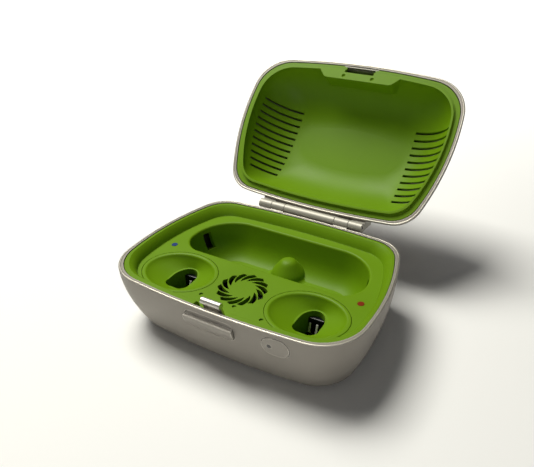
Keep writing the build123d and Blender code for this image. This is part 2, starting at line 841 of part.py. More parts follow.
with BuildPart() as air_duct:
    block(
        (-duct_half, duct_half), (grille_y - duct_half, grille_y + duct_half), (board_top, duct_top)
    )
    block(
        (-duct_half + duct_wall, duct_half - duct_wall),
        (grille_y - duct_half + duct_wall, grille_y + duct_half - duct_wall),
        (board_top, duct_top),
        mode=Mode.SUBTRACT,
    )
    for side in (-1, 1):
        block(
            (side * duct_half - duct_wall - 0.5, side * duct_half + duct_wall + 0.5),
            (grille_y - duct_half + 3, grille_y + duct_half - 3),
            (board_top + 0.8, board_top + 0.8 + duct_window_height - 0.7),
            mode=Mode.SUBTRACT,
        )
    # Ledges inside the front and rear walls carry the heater's fin plate.
    for side in (-1, 1):
        outer = grille_y + side * (duct_half - duct_wall)
        inner = grille_y + side * (duct_half - duct_wall - 1.2)
        block(
            (-duct_half + duct_wall, duct_half - duct_wall),
            (min(inner, outer), max(inner, outer)),
            (ledge_low, ledge_low + 1.0),
        )
    # Room for the fan screw heads in two corners.
    for centre in fan_post_points:
        post(centre, 1.5, duct_top - 1.0, duct_top, mode=Mode.SUBTRACT)
air_duct.part.label = "air_duct"
export_step(air_duct.part, "parts/air_duct.step")

plate_low = ledge_low + 1.0
fin_half = duct_half - duct_wall - 0.2
fin_height = fan_bottom - fin_gap - plate_low - 1.0

with BuildPart() as heater_fins:
    block((-fin_half, fin_half), (grille_y - fin_half, grille_y + fin_half), (plate_low, plate_low + 1.0))
    for side in (-1, 1):
        block(
            (side * 7.9 - 1.1, side * 7.9 + 1.1),
            (grille_y - fin_half + 2.2, grille_y + fin_half - 2.2),
            (plate_low, plate_low + 1.0),
            mode=Mode.SUBTRACT,
        )
    for index in range(5):
        x = (index - 2) * 2.6
        block(
            (x - 0.3, x + 0.3),
            (grille_y - 7.0, grille_y + 7.0),
            (plate_low + 1.0, plate_low + 1.0 + fin_height),
        )
heater_fins.part.label = "heater_fins"
export_step(heater_fins.part, "parts/heater_fins.step")

with BuildPart() as ptc_heater:
    block(
        (-heater_size / 2, heater_size / 2),
        (grille_y - heater_size / 2, grille_y + heater_size / 2),
        (plate_low - heater_thickness, plate_low),
    )
    fillet(ptc_heater.edges().filter_by(Axis.Z), 0.5)
ptc_heater.part.label = "ptc_heater"
export_step(ptc_heater.part, "parts/ptc_heater.step")

# ------------------------------------------------------------------ electronics
with BuildPart() as main_board:
    add(case_sketch(board_under, board_inset))
    extrude(amount=board_thickness)
    for centre in case_screw_points:
        post(centre, case_boss_radius + 0.8, board_under, board_top, mode=Mode.SUBTRACT)
    for centre in board_screw_points:
        post(centre, board_screw_radius + screw_gap, board_under, board_top, mode=Mode.SUBTRACT)
main_board.part.label = "main_board"
export_step(main_board.part, "parts/main_board.step")

with BuildPart() as board_screws:
    for centre in board_screw_points:
        post(centre, board_screw_head, board_top, board_top + 1.0)
        post(centre, board_screw_radius, floor_top - 0.6, board_top)
        with BuildSketch(Plane.XY.offset(board_top + 1.0)):
            with Locations(centre):
                Rectangle(2.2, 0.5)
                Rectangle(0.5, 2.2)
        extrude(amount=-0.5, mode=Mode.SUBTRACT)
board_screws.part.label = "board_screws"
export_step(board_screws.part, "parts/board_screws.step")

with BuildPart() as controller_chip:
    with BuildSketch(Plane.XY.offset(board_top)):
        with Locations((-duct_half - chip_size / 2 - 1.5, trough_front + chip_behind_trough_front)):
            Rectangle(chip_size, chip_size)
    extrude(amount=0.9)
controller_chip.part.label = "controller_chip"
export_step(controller_chip.part, "parts/controller_chip.step")

ballast_front = ballast_from_front - half_depth
ballast_rear = rear_screw_y - case_boss_radius - 0.6

with BuildPart() as ballast_plate:
    with BuildSketch(Plane.XY.offset(floor_top)):
        with Locations((0, (ballast_front + ballast_rear) / 2)):
            RectangleRounded(ballast_width, ballast_rear - ballast_front, 3.0)
    extrude(amount=ballast_thickness)
ballast_plate.part.label = "ballast_plate"
export_step(ballast_plate.part, "parts/ballast_plate.step")

usb_rear = half_depth - base_inset(board_top + usb_height / 2) - 0.4

with BuildPart() as usb_socket:
    with BuildSketch(front_plane(usb_rear)):
        with Locations((0, board_top + usb_height / 2)):
            SlotOverall(usb_width, usb_height)
    extrude(amount=usb_length)
    with BuildSketch(front_plane(usb_rear)):
        with Locations((0, board_top + usb_height / 2)):
            SlotOverall(usb_width - 0.8, usb_height - 0.8)
            Rectangle(usb_width - 2.6, 0.7, mode=Mode.SUBTRACT)
    extrude(amount=usb_length - 1.0, mode=Mode.SUBTRACT)
usb_socket.part.label = "usb_socket"
export_step(usb_socket.part, "parts/usb_socket.step")


def lead(start, corner, end):
    """A round wire with two straight runs and one bend, as large as the shorter run leaves room for."""
    shorter = min((corner - start).length, (end - corner).length)
    with BuildPart() as wire:
        with BuildLine() as route:
            FilletPolyline(start, corner, end, radius=0.45 * shorter)
        with BuildSketch(Plane(origin=start, z_dir=corner - start)):
            Circle(lead_radius)
        sweep(path=route.wires()[0])
    return wire


fan_lead_x = -duct_half - 6.0
fan_lead_y = grille_y - 4.4
fan_lead = lead(
    Vector(-fan_half, fan_lead_y, fan_bottom + 1.4),
    Vector(fan_lead_x, fan_lead_y, fan_bottom + 1.4),
    Vector(fan_lead_x, fan_lead_y, board_top),
)
fan_lead.part.label = "fan_lead"
export_step(fan_lead.part, "parts/fan_lead.step")

# ------------------------------------------------------------------ power button
power_back = liner_front + 1.05
button_board_back = hook_pivot_y
button_board_front = button_board_back - 0.8
switch_x = power_x + 1.0
switch_z = power_z - 3.4
switch_front = button_board_front - 1.2
lens_x = power_x + lens_offset
tab_back = button_board_front - power_travel - 0.55

with BuildPart() as power_button:
    with BuildSketch(front_plane(power_back)):
        with Locations((power_x, power_z)):
            SlotOverall(power_width, power_height)
    extrude(amount=half_depth)
    add(base_envelope(-power_proud), mode=Mode.INTERSECT)
    with BuildSketch(front_plane(power_back)):
        with Locations((lens_x, power_z)):
            Circle(lens_radius + 0.05)
    extrude(amount=half_depth, mode=Mode.SUBTRACT)
    # Two wings reach back past the wall and end in tabs that keep the button in its hole.
    for side in (-1, 1):
        edge = power_x + side * (power_width / 2 - 0.9)
        near = edge - side * 1.2
        far = edge + side * 1.9
        block((min(edge, near), max(edge, near)), (power_back, tab_back), (power_z - 2.5, power_z - 0.6))
        block((min(near, far), max(near, far)), (tab_back - 0.6, tab_back), (power_z - 2.5, power_z - 0.6))
    with BuildSketch(front_plane(power_back)):
        with Locations((switch_x, switch_z)):
            Circle(0.9)
    extrude(amount=-(switch_front - power_travel - 0.15 - power_back))
power_button.part.label = "power_button"
export_step(power_button.part, "parts/power_button.step")

with BuildPart() as indicator_lens:
    with BuildSketch(front_plane(power_back)):
        with Locations((lens_x, power_z)):
            Circle(lens_radius)
    extrude(amount=half_depth)
    add(base_envelope(-power_proud - 0.05), mode=Mode.INTERSECT)
    block((lens_x - 0.9, lens_x + 0.9), (power_back, power_back + 0.7), (power_z - 3.7, power_z + 0.85))
indicator_lens.part.label = "indicator_lens"
export_step(indicator_lens.part, "parts/indicator_lens.step")

with BuildPart() as button_board:
    block(
        (power_x - power_board_half_width, power_x + power_board_half_width),
        (button_board_front, button_board_back),
        (hook_pivot_z + 1.9, hook_pivot_z + 8.3),
    )
button_board.part.label = "button_board"
export_step(button_board.part, "parts/button_board.step")

with BuildPart() as power_switch:
    block(
        (switch_x - 2.2, switch_x + 2.2), (switch_front, button_board_front), (switch_z - 1.4, switch_z + 1.3)
    )
    fillet(power_switch.edges().filter_by(Axis.Y), 0.3)
power_switch.part.label = "power_switch"
export_step(power_switch.part, "parts/power_switch.step")

with BuildPart() as indicator_led:
    block(
        (lens_x - 0.8, lens_x + 0.8),
        (button_board_front - 0.9, button_board_front),
        (switch_z - 0.3, switch_z + 1.3),
    )
indicator_led.part.label = "indicator_led"
export_step(indicator_led.part, "parts/indicator_led.step")

button_lead = lead(
    Vector(power_x, button_board_back, hook_pivot_z + 4.0),
    Vector(power_x, button_board_back + 5.2, hook_pivot_z + 4.0),
    Vector(power_x, button_board_back + 5.2, board_top),
)
button_lead.part.label = "button_lead"
export_step(button_lead.part, "parts/button_lead.step")

# ------------------------------------------------------------------ latch
latch_bottom = slot_bottom + latch_gap
latch_top = slot_top - latch_groove
latch_ledge = latch_top - latch_scoop_height
latch_split_z = deck_under - 0.35
latch_back = liner_front + 0.35
flange_back = hook_pivot_y - 2.55
hook_lean = (hook_bar_y + 1.4 - hook_pivot_y) / (hook_bar_z - 4.55 - hook_pivot_z)


def hook_line(z):
    """Where the hook's straight arm stands at a height."""
    return hook_pivot_y + hook_lean * (z - hook_pivot_z)


pusher_tip = hook_line(latch_split_z) - hook_thickness / 2 - 0.1

with BuildPart() as latch_button:
    plate(
        (
            (latch_back, latch_top),
            (latch_back, latch_split_z),
            (flange_back, latch_split_z),
            (flange_back, latch_bottom),
            (-half_depth + base_inset(latch_bottom), latch_bottom),
            (-half_depth - latch_proud * 0.55, latch_z - 0.6),
            (-half_depth - latch_proud, latch_ledge - 0.7),
            (-half_depth - latch_proud, latch_ledge),
            (-half_depth + latch_scoop_depth * 0.6, latch_ledge + 0.2),
            (-half_depth + latch_scoop_depth, latch_ledge + 0.7),
            (-half_depth + latch_scoop_depth, latch_top),
        ),
        -latch_width / 2,
        latch_width / 2,
    )
    with BuildSketch(front_plane(flange_back)):
        with Locations((0, (latch_bottom + latch_top) / 2)):
            RectangleRounded(latch_width, latch_top - latch_bottom, 2.8)
    extrude(amount=half_depth, mode=Mode.INTERSECT)
    fillet(latch_button.faces().sort_by(Axis.Y)[0].edges().filter_by(Axis.X).sort_by(Axis.Z)[-1], 0.3)
    # Hollow behind the face, leaving a pusher for the hook and a flange each side.
    block(
        (-latch_width / 2 + 1.0, latch_width / 2 - 1.0),
        (latch_back - 0.6, flange_back),
        (latch_bottom + 0.9, latch_split_z - 0.9),
        mode=Mode.SUBTRACT,
    )
    for side in (-1, 1):
        near = side * (latch_width / 2 - 2.2)
        far = side * (latch_width / 2 + 1.2)
        block(
            (min(near, far), max(near, far)),
            (flange_back - 0.7, flange_back),
            (latch_bottom + 0.9, latch_split_z),
        )
    block((-3.0, 3.0), (latch_back - 0.7, pusher_tip), (latch_split_z - 1.8, latch_split_z))
latch_button.part.label = "latch_button"
export_step(latch_button.part, "parts/latch_button.step")

hook_knee_z = hook_bar_z - 4.55
hook_neck_z = hook_bar_z - 0.95

with BuildPart() as latch_hook:
    with BuildSketch(Plane.YZ.offset(-hook_half_width)):
        with BuildLine() as hook_path:
            Polyline(
                (hook_pivot_y, hook_pivot_z),
                (hook_line(hook_knee_z), hook_knee_z),
                (hook_bar_y + 0.3, hook_neck_z),
                (hook_bar_y, hook_bar_z),
            )
            offset(hook_path.line, hook_thickness / 2, side=Side.BOTH)
        make_face()
        with Locations((hook_pivot_y, hook_pivot_z)):
            Circle(hook_eye_radius)
        with Locations((hook_bar_y, hook_bar_z)):
            Circle(hook_bar_radius)
        # Undercut of the roll, which leaves a lip over the catch bar.
        with Locations((catch_rear + hook_lip_gap, catch_top + hook_lip_gap)):
            Rectangle(3.0, 3.0, align=(Align.MAX, Align.MAX), mode=Mode.SUBTRACT)
    extrude(amount=2 * hook_half_width)
    rod(
        hook_pivot_y,
        hook_pivot_z,
        hook_pin_radius + running_gap,
        -hook_half_width,
        hook_half_width,
        mode=Mode.SUBTRACT,
    )
latch_hook.part.label = "latch_hook"
export_step(latch_hook.part, "parts/latch_hook.step")

with BuildPart() as hook_pin:
    pin_end = hook_half_width + lug_gap + lug_thickness
    rod(hook_pivot_y, hook_pivot_z, hook_pin_radius, -pin_end, pin_end)
hook_pin.part.label = "hook_pin"
export_step(hook_pin.part, "parts/hook_pin.step")

with BuildPart() as latch_spring:
    plate(
        (
            (hook_pivot_y + 2.2, deck_under),
            (hook_pivot_y + 2.5, deck_under),
            (hook_pivot_y + 0.75, hook_pivot_z + 5.0),
            (hook_pivot_y + 0.45, hook_pivot_z + 5.0),
        ),
        -2.5,
        2.5,
    )
latch_spring.part.label = "latch_spring"
export_step(latch_spring.part, "parts/latch_spring.step")

# ------------------------------------------------------------------ hinge
leaf_low = hinge_z - hinge_leaf_height
leaf_high = hinge_z + hinge_leaf_height - 1.2

with BuildPart() as base_hinge:
    for side in (-1, 1):
        near = side * (knuckle_joint_inner + knuckle_gap / 2)
        far = side * (knuckle_joint_outer - knuckle_gap / 2)
        left = min(near, far)
        right = max(near, far)
        plate(
            (
                (hinge_y - barrel_radius + 0.1, hinge_z - 0.6),
                (hinge_y + 1.48, hinge_z - 1.48),
                (half_depth + 0.4, leaf_low),
                (half_depth - 2.5, leaf_low),
                (half_depth - 2.5, hinge_z - 2.2),
            ),
            left,
            right,
        )
        rod(hinge_y, hinge_z, barrel_radius, left, right)
        rod(hinge_y, hinge_z, hinge_pin_radius, left, right, mode=Mode.SUBTRACT)
    add(base_outside, mode=Mode.SUBTRACT)
base_hinge.part.label = "base_hinge"
export_step(base_hinge.part, "parts/base_hinge.step")

with BuildPart() as hinge_pin:
    rod(hinge_y, hinge_z, hinge_pin_radius, -knuckle_end + 0.3, knuckle_end - 0.3)
hinge_pin.part.label = "hinge_pin"
export_step(hinge_pin.part, "parts/hinge_pin.step")

with BuildPart() as closed_lid_hinge:
    knuckles = (
        (-knuckle_end, -knuckle_joint_outer - knuckle_gap / 2),
        (-knuckle_joint_inner + knuckle_gap / 2, knuckle_joint_inner - knuckle_gap / 2),
        (knuckle_joint_outer + knuckle_gap / 2, knuckle_end),
    )
    for left, right in knuckles:
        plate(
            (
                (hinge_y - 1.5, hinge_z + leaf_set_back),
                (hinge_y + 1.48, hinge_z + 1.48),
                (half_depth - 1.7, leaf_high),
                (half_depth - 4.5, leaf_high),
                (half_depth - 4.5, hinge_z + leaf_set_back),
            ),
            left,
            right,
        )
        rod(hinge_y, hinge_z, barrel_radius, left, right)
        rod(hinge_y, hinge_z, hinge_pin_radius + running_gap, left, right, mode=Mode.SUBTRACT)
    # One leaf joins the three knuckles along the back of the lid.
    plate(
        (
            (half_depth + 0.6, hinge_z + barrel_radius + 0.3),
            (half_depth - 1.7, leaf_high),
            (half_depth - 4.5, leaf_high),
            (half_depth - 4.5, hinge_z + barrel_radius + 0.3),
        ),
        -knuckle_end,
        knuckle_end,
    )
    add(dome_outside, mode=Mode.SUBTRACT)

with BuildPart() as lid_hinge:
    add(opened(closed_lid_hinge.part))
lid_hinge.part.label = "lid_hinge"
export_step(lid_hinge.part, "parts/lid_hinge.step")

# ------------------------------------------------------------------ lid

with BuildPart() as closed_lid_shell:
    add(dome_outside)
    fillet(closed_lid_shell.faces().sort_by(Axis.Z)[0].edges(), rim_round)
    add(dome_solid(wall), mode=Mode.SUBTRACT)
    # Relief for the hook's bar in the front wall.
    block(
        (-hook_half_width - 0.75, hook_half_width + 0.75),
        (hook_bar_y - hook_bar_radius - 0.25, hook_bar_y),
        (lid_rim, hook_bar_z + hook_bar_radius + 0.4),
        mode=Mode.SUBTRACT,
    )

with BuildPart() as lid_shell:
    add(opened(closed_lid_shell.part))
lid_shell.part.label = "lid_shell"
export_step(lid_shell.part, "parts/lid_shell.step")

lid_inside = dome_solid(lid_liner_offset + lid_liner_wall)
lip_inset = liner_inset + rim_land + front_land_extra + 0.55

catch_pad_flare_y = -half_depth + catch_pad_flare

with BuildSketch() as catch_pad_outline:
    with BuildLine():
        Polyline(
            (-catch_pad_half_width - 4.0, -half_depth + wall),
            (catch_pad_half_width + 4.0, -half_depth + wall),
            (catch_pad_half_width + 4.0, catch_pad_flare_y),
            (catch_pad_half_width, catch_pad_flare_y),
            (catch_pad_half_width - catch_pad_taper, -half_depth + catch_pad_reach),
            (-catch_pad_half_width + catch_pad_taper, -half_depth + catch_pad_reach),
            (-catch_pad_half_width, catch_pad_flare_y),
            (-catch_pad_half_width - 4.0, catch_pad_flare_y),
            close=True,
        )
    make_face()
    corners = catch_pad_outline.vertices()
    fillet(corners.group_by(Axis.Y)[-1], catch_pad_corner)
    flares = catch_pad_outline.vertices().filter_by_position(
        Axis.Y, catch_pad_flare_y - 0.01, catch_pad_flare_y + 0.01
    )
    inner_flares = flares.filter_by_position(Axis.X, -catch_pad_half_width - 0.1, catch_pad_half_width + 0.1)
    fillet(inner_flares, catch_pad_corner * 0.8)

with BuildPart() as catch_pad_space:
    with BuildSketch(Plane.XY.offset(flange_bottom)):
        add(catch_pad_outline.sketch)
    extrude(amount=catch_pad_depth)
    add(dome_solid(lid_liner_offset), mode=Mode.INTERSECT)

with BuildPart() as inside_lip:
    add(case_sketch(flange_bottom - lip_height, lip_inset))
    extrude(amount=lip_height)

# The pad's face, level with the lip.
with BuildPart() as catch_pad_face:
    with BuildSketch(Plane.XY.offset(flange_bottom - lip_height)):
        add(catch_pad_outline.sketch)
    extrude(amount=lip_height)
    add(inside_lip.part, mode=Mode.INTERSECT)

dimple_y = hook_pivot_y + 1.7

with BuildPart() as closed_lid_liner:
    add(dome_solid(lid_liner_offset))
    add(case_sketch(flange_bottom, liner_inset + screw_gap))
    extrude(amount=flange_thickness)
    add(case_sketch(flange_bottom, lip_inset))
    extrude(amount=-lip_height)
    add(case_sketch(lid_rim - 2 * lip_height, lip_inset + lip_width))
    extrude(amount=2 * lip_height + flange_thickness, mode=Mode.SUBTRACT)
    add(lid_inside, mode=Mode.SUBTRACT)
    add(catch_pad_space.part)
    add(catch_pad_face.part)
    # Slot for the hook, and a groove that holds the catch bar.
    block(
        (-catch_slot_half_width, catch_slot_half_width),
        (-half_depth, hook_pivot_y - 0.3),
        (lid_rim - 2 * lip_height, hook_bar_z + hook_bar_radius + 1.0),
        mode=Mode.SUBTRACT,
    )
    block(
        (-catch_half_length, catch_half_length),
        (catch_front, catch_rear),
        (flange_bottom, catch_top),
        mode=Mode.SUBTRACT,
    )
    # Two shallow dimples in the pad.
    dimple_z = flange_bottom - lip_height - 0.3
    with Locations((-7.5, dimple_y, dimple_z), (7.5, dimple_y, dimple_z)):
        Sphere(1.0, mode=Mode.SUBTRACT)
    # Two banks of vents, from the ceiling down the end walls.
    for index in range(lid_vent_count):
        y = lid_vent_first_y + index * lid_vent_pitch
        for side in (-1, 1):
            inner = side * lid_vent_start_x
            outer = side * case_width / 2
            block(
                (min(inner, outer), max(inner, outer)),
                (y - lid_vent_width / 2, y + lid_vent_width / 2),
                (lid_rim + lid_vent_rise, lid_top),
                mode=Mode.SUBTRACT,
            )

with BuildPart() as lid_liner:
    add(opened(closed_lid_liner.part))
lid_liner.part.label = "lid_liner"
export_step(lid_liner.part, "parts/lid_liner.step")

with BuildPart() as closed_lid_catch:
    block(
        (-catch_half_length, catch_half_length),
        (catch_front, catch_rear),
        (flange_bottom, catch_top),
    )

with BuildPart() as lid_catch:
    add(opened(closed_lid_catch.part))
lid_catch.part.label = "lid_catch"
export_step(lid_catch.part, "parts/lid_catch.step")
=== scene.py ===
"""The hearing aid dryer, dressed: a finish for every piece, bright rims, then floor, lights and camera."""

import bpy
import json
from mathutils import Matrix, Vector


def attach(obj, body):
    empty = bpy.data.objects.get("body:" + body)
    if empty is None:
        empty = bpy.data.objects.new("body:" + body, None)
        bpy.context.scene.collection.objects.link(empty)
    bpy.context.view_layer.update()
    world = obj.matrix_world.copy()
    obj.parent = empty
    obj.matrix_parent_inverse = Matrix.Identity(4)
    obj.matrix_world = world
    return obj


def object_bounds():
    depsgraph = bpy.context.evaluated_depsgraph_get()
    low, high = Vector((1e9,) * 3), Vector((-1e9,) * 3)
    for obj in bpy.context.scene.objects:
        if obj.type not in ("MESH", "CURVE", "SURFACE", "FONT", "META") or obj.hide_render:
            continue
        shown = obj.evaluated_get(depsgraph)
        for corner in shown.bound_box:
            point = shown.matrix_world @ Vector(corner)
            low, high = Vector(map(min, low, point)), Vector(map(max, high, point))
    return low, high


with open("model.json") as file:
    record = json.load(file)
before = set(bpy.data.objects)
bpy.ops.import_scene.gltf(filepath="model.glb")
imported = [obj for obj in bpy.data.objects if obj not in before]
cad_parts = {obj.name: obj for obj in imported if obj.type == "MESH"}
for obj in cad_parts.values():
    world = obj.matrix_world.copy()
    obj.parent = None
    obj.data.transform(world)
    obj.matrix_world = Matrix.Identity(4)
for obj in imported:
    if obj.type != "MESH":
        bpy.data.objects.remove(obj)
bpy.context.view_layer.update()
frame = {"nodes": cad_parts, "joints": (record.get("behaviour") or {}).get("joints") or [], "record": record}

import json
import math

import bmesh
import bpy
from mathutils import Matrix, Vector

MM = 0.001

# Bevel nodes look this many times for a nearby corner.
CORNER_SAMPLES = 4

# Each rim is traced by this many evenly spaced places, from the corners that lie level with it.
RIM_PLACES = 360
RIM_LEVEL_SLACK = 0.02 * MM

# Section of the bright band on a rim: how far out from the rim's edge, and how far past its level.
BAND_SECTION = (
    (0.06 * MM, -0.55 * MM),
    (0.09 * MM, -0.22 * MM),
    (0.0, 0.02 * MM),
    (-0.26 * MM, 0.08 * MM),
    (-0.6 * MM, 0.06 * MM),
    (-0.4 * MM, -0.3 * MM),
)

FLOOR_REACH = 3.0
FLOOR_SQUARES = 24
SKY_STRENGTH = 0.05

CAMERA_PLACE = Vector((109.73, -166.10, 163.02)) * MM
CAMERA_AZIMUTH = math.radians(29.47)
CAMERA_ELEVATION = math.radians(29.40)
CAMERA_ROLL = math.radians(-0.99)
CAMERA_LENS = 39.17
CAMERA_SENSOR = 36.0
CAMERA_SHIFT = (-0.0536, -0.0404)
CAMERA_NEAR = 0.01


# ---------------------------------------------------------------- shader node work


def lay(tree, kind, inputs=None, **settings):
    """Adds one shader node. An input takes a number, a colour, or the socket to wire from."""
    node = tree.nodes.new("ShaderNode" + kind)
    for name, value in settings.items():
        setattr(node, name, value)
    for name, value in (inputs or {}).items():
        if isinstance(value, bpy.types.NodeSocket):
            tree.links.new(value, node.inputs[name])
        else:
            node.inputs[name].default_value = value
    return node


def open_group(name, takes, gives):
    """Starts a shader node group with named inputs and outputs."""
    group = bpy.data.node_groups.new(name, "ShaderNodeTree")
    for label, kind, value in takes:
        socket = group.interface.new_socket(label, in_out="INPUT", socket_type="NodeSocket" + kind)
        socket.default_value = value
    for label, kind in gives:
        group.interface.new_socket(label, in_out="OUTPUT", socket_type="NodeSocket" + kind)
    return group, group.nodes.new("NodeGroupInput"), group.nodes.new("NodeGroupOutput")


def wire_out(group, made, results):
    """Wires a group's results to its named outputs."""
    for label, socket in results.items():
        group.links.new(socket, made.inputs[label])


def sum_of(tree, first, second):
    return lay(tree, "Math", {0: first, 1: second}, operation="ADD").outputs[0]


def product_of(tree, first, second, clamp=False):
    return lay(tree, "Math", {0: first, 1: second}, operation="MULTIPLY", use_clamp=clamp).outputs[0]


def centred(tree, noise):
    """A noise moved from 0..1 to -0.5..0.5."""
    return lay(tree, "Math", {0: noise, 1: 0.5}, operation="SUBTRACT").outputs[0]


def varied(tree, change, amount, middle):
    """A middle value that goes up and down with a centred change."""
    return sum_of(tree, product_of(tree, change, amount), middle)


def mix_tones(tree, share, first, second):
    """From the first colour to the second; a Mix node's colours are sockets 6 and 7, and output 2."""
    return lay(tree, "Mix", {0: share, 6: first, 7: second}, data_type="RGBA").outputs[2]


def mix_values(tree, share, first, second):
    """From the first number to the second; a Mix node's numbers are sockets 2 and 3."""
    return lay(tree, "Mix", {0: share, 2: first, 3: second}, data_type="FLOAT").outputs[0]


def object_place(tree):
    return lay(tree, "TexCoord").outputs["Object"]


def make_mould_grain():
    """Fine spark-eroded texture of a mould, with slow changes of tone and gloss across the moulding."""
    grain_share = 0.7
    group, given, made = open_group(
        "mould_grain",
        [
            ("Tone", "Color", (0.5, 0.5, 0.5, 1)),
            ("Tone Change", "Float", 0.1),
            ("Grain Per Metre", "Float", 2600.0),
            ("Flow Per Metre", "Float", 45.0),
            ("Gloss", "Float", 0.4),
            ("Gloss Change", "Float", 0.1),
        ],
        [("Tone", "Color"), ("Roughness", "Float"), ("Height", "Float")],
    )
    place = object_place(group)
    grain = lay(
        group,
        "TexNoise",
        {"Vector": place, "Scale": given.outputs["Grain Per Metre"], "Detail": 2.0, "Roughness": 0.55},
    ).outputs["Fac"]
    flow = lay(
        group,
        "TexNoise",
        {
            "Vector": place,
            "Scale": given.outputs["Flow Per Metre"],
            "Detail": 3.0,
            "Roughness": 0.5,
            "Distortion": 0.6,
        },
    ).outputs["Fac"]
    both = sum_of(group, product_of(group, centred(group, grain), grain_share), centred(group, flow))
    lightness = varied(group, both, given.outputs["Tone Change"], 1.0)
    tone = lay(group, "HueSaturation", {"Value": lightness, "Color": given.outputs["Tone"]})
    gloss = varied(group, both, given.outputs["Gloss Change"], given.outputs["Gloss"])
    wire_out(group, made, {"Tone": tone.outputs["Color"], "Roughness": gloss, "Height": grain})
    return group


def make_edge_wear_and_highlight():
    """Finds outer corners of a moulding or plate and lightens them: partly wear, where paint and grain are
    polished by handling, and partly a painted highlight, where light would catch a rounded corner.
    """
    patches_per_metre = 420.0
    least_brightening = 0.35
    corner_starts, corner_full = 0.985, 0.86  # cosine between the true face and the rounded one
    group, given, made = open_group(
        "edge_wear_and_highlight",
        [
            ("Tone", "Color", (0.5, 0.5, 0.5, 1)),
            ("Edge Tone", "Color", (0.8, 0.8, 0.8, 1)),
            ("Edge Width", "Float", 0.0005),
            ("Amount", "Float", 0.5),
            ("Roughness", "Float", 0.4),
            ("Edge Roughness", "Float", 0.25),
        ],
        [("Tone", "Color"), ("Roughness", "Float"), ("Edge", "Float")],
    )
    rounded = lay(group, "Bevel", {"Radius": given.outputs["Edge Width"]}, samples=CORNER_SAMPLES)
    flat = lay(group, "NewGeometry").outputs["Normal"]
    along = lay(group, "VectorMath", {0: rounded.outputs[0], 1: flat}, operation="DOT_PRODUCT")
    patches = lay(
        group,
        "TexNoise",
        {"Vector": object_place(group), "Scale": patches_per_metre, "Detail": 2.0},
    ).outputs["Fac"]
    bent = lay(
        group,
        "MapRange",
        {
            "Value": along.outputs["Value"],
            "From Min": corner_starts,
            "From Max": corner_full,
            "To Min": 0.0,
            "To Max": 1.0,
        },
    ).outputs["Result"]
    # Corners take the edge tone here: partly wear, partly a painted highlight along rounded corners.
    worn_and_highlit = product_of(group, bent, sum_of(group, patches, least_brightening))
    edge = product_of(group, worn_and_highlit, given.outputs["Amount"], clamp=True)
    tone = mix_tones(group, edge, given.outputs["Tone"], given.outputs["Edge Tone"])
    gloss = mix_values(group, edge, given.outputs["Roughness"], given.outputs["Edge Roughness"])
    wire_out(group, made, {"Tone": tone, "Roughness": gloss, "Edge": edge})
    return group


def make_settled_dust():
    """Pale dust that lies on faces turned upwards, and thinner in patches."""
    clouds_per_metre, specks_per_metre = 130.0, 520.0
    speck_rim, speck_core = 0.16, 0.06
    cloud_share, speck_share = 0.6, 2.2
    least_rise = 0.2  # a face steeper than this holds no dust
    dust_roughness = 0.8
    group, given, made = open_group(
        "settled_dust",
        [
            ("Tone", "Color", (0.5, 0.5, 0.5, 1)),
            ("Dust Tone", "Color", (0.62, 0.6, 0.55, 1)),
            ("Amount", "Float", 0.1),
            ("Roughness", "Float", 0.4),
        ],
        [("Tone", "Color"), ("Roughness", "Float")],
    )
    place = object_place(group)
    cloud = lay(
        group,
        "TexNoise",
        {"Vector": place, "Scale": clouds_per_metre, "Detail": 4.0},
    ).outputs["Fac"]
    specks = lay(
        group,
        "TexVoronoi",
        {"Vector": place, "Scale": specks_per_metre, "Randomness": 1.0},
        feature="F1",
    ).outputs["Distance"]
    spot = lay(
        group,
        "MapRange",
        {"Value": specks, "From Min": speck_rim, "From Max": speck_core, "To Min": 0.0, "To Max": 1.0},
    ).outputs["Result"]
    facing = lay(group, "NewGeometry").outputs["Normal"]
    upright = lay(group, "SeparateXYZ", {"Vector": facing}).outputs["Z"]
    lying = lay(group, "Math", {0: upright, 1: least_rise}, operation="SUBTRACT", use_clamp=True)
    spots = product_of(group, product_of(group, spot, cloud), speck_share)
    spread = sum_of(group, product_of(group, cloud, cloud_share), spots)
    laden = product_of(group, lying.outputs[0], spread)
    share = product_of(group, laden, given.outputs["Amount"], clamp=True)
    tone = mix_tones(group, share, given.outputs["Tone"], given.outputs["Dust Tone"])
    dull = mix_values(group, share, given.outputs["Roughness"], dust_roughness)
    wire_out(group, made, {"Tone": tone, "Roughness": dull})
    return group


def make_drawn_lines():
    """Fine lines left in metal by drawing or turning, along the X direction, with a slight mottle."""
    along_line = 0.03  # how fast a line changes along itself, against across it
    mottle_per_metre = 300.0
    group, given, made = open_group(
        "drawn_lines",
        [
            ("Tone", "Color", (0.7, 0.7, 0.7, 1)),
            ("Tone Change", "Float", 0.15),
            ("Lines Per Metre", "Float", 9000.0),
            ("Roughness", "Float", 0.3),
            ("Roughness Change", "Float", 0.15),
        ],
        [("Tone", "Color"), ("Roughness", "Float"), ("Height", "Float")],
    )
    place = object_place(group)
    drawn = lay(group, "Mapping", {"Vector": place, "Scale": (along_line, 1.0, 1.0)})
    lines = lay(
        group,
        "TexNoise",
        {"Vector": drawn.outputs["Vector"], "Scale": given.outputs["Lines Per Metre"], "Detail": 2.0},
    ).outputs["Fac"]
    mottle = lay(
        group,
        "TexNoise",
        {"Vector": place, "Scale": mottle_per_metre, "Detail": 3.0},
    ).outputs["Fac"]
    both = sum_of(group, centred(group, lines), centred(group, mottle))
    lightness = varied(group, both, given.outputs["Tone Change"], 1.0)
    tone = lay(group, "HueSaturation", {"Value": lightness, "Color": given.outputs["Tone"]})
    gloss = varied(group, both, given.outputs["Roughness Change"], given.outputs["Roughness"])
    wire_out(group, made, {"Tone": tone.outputs["Color"], "Roughness": gloss, "Height": lines})
    return group


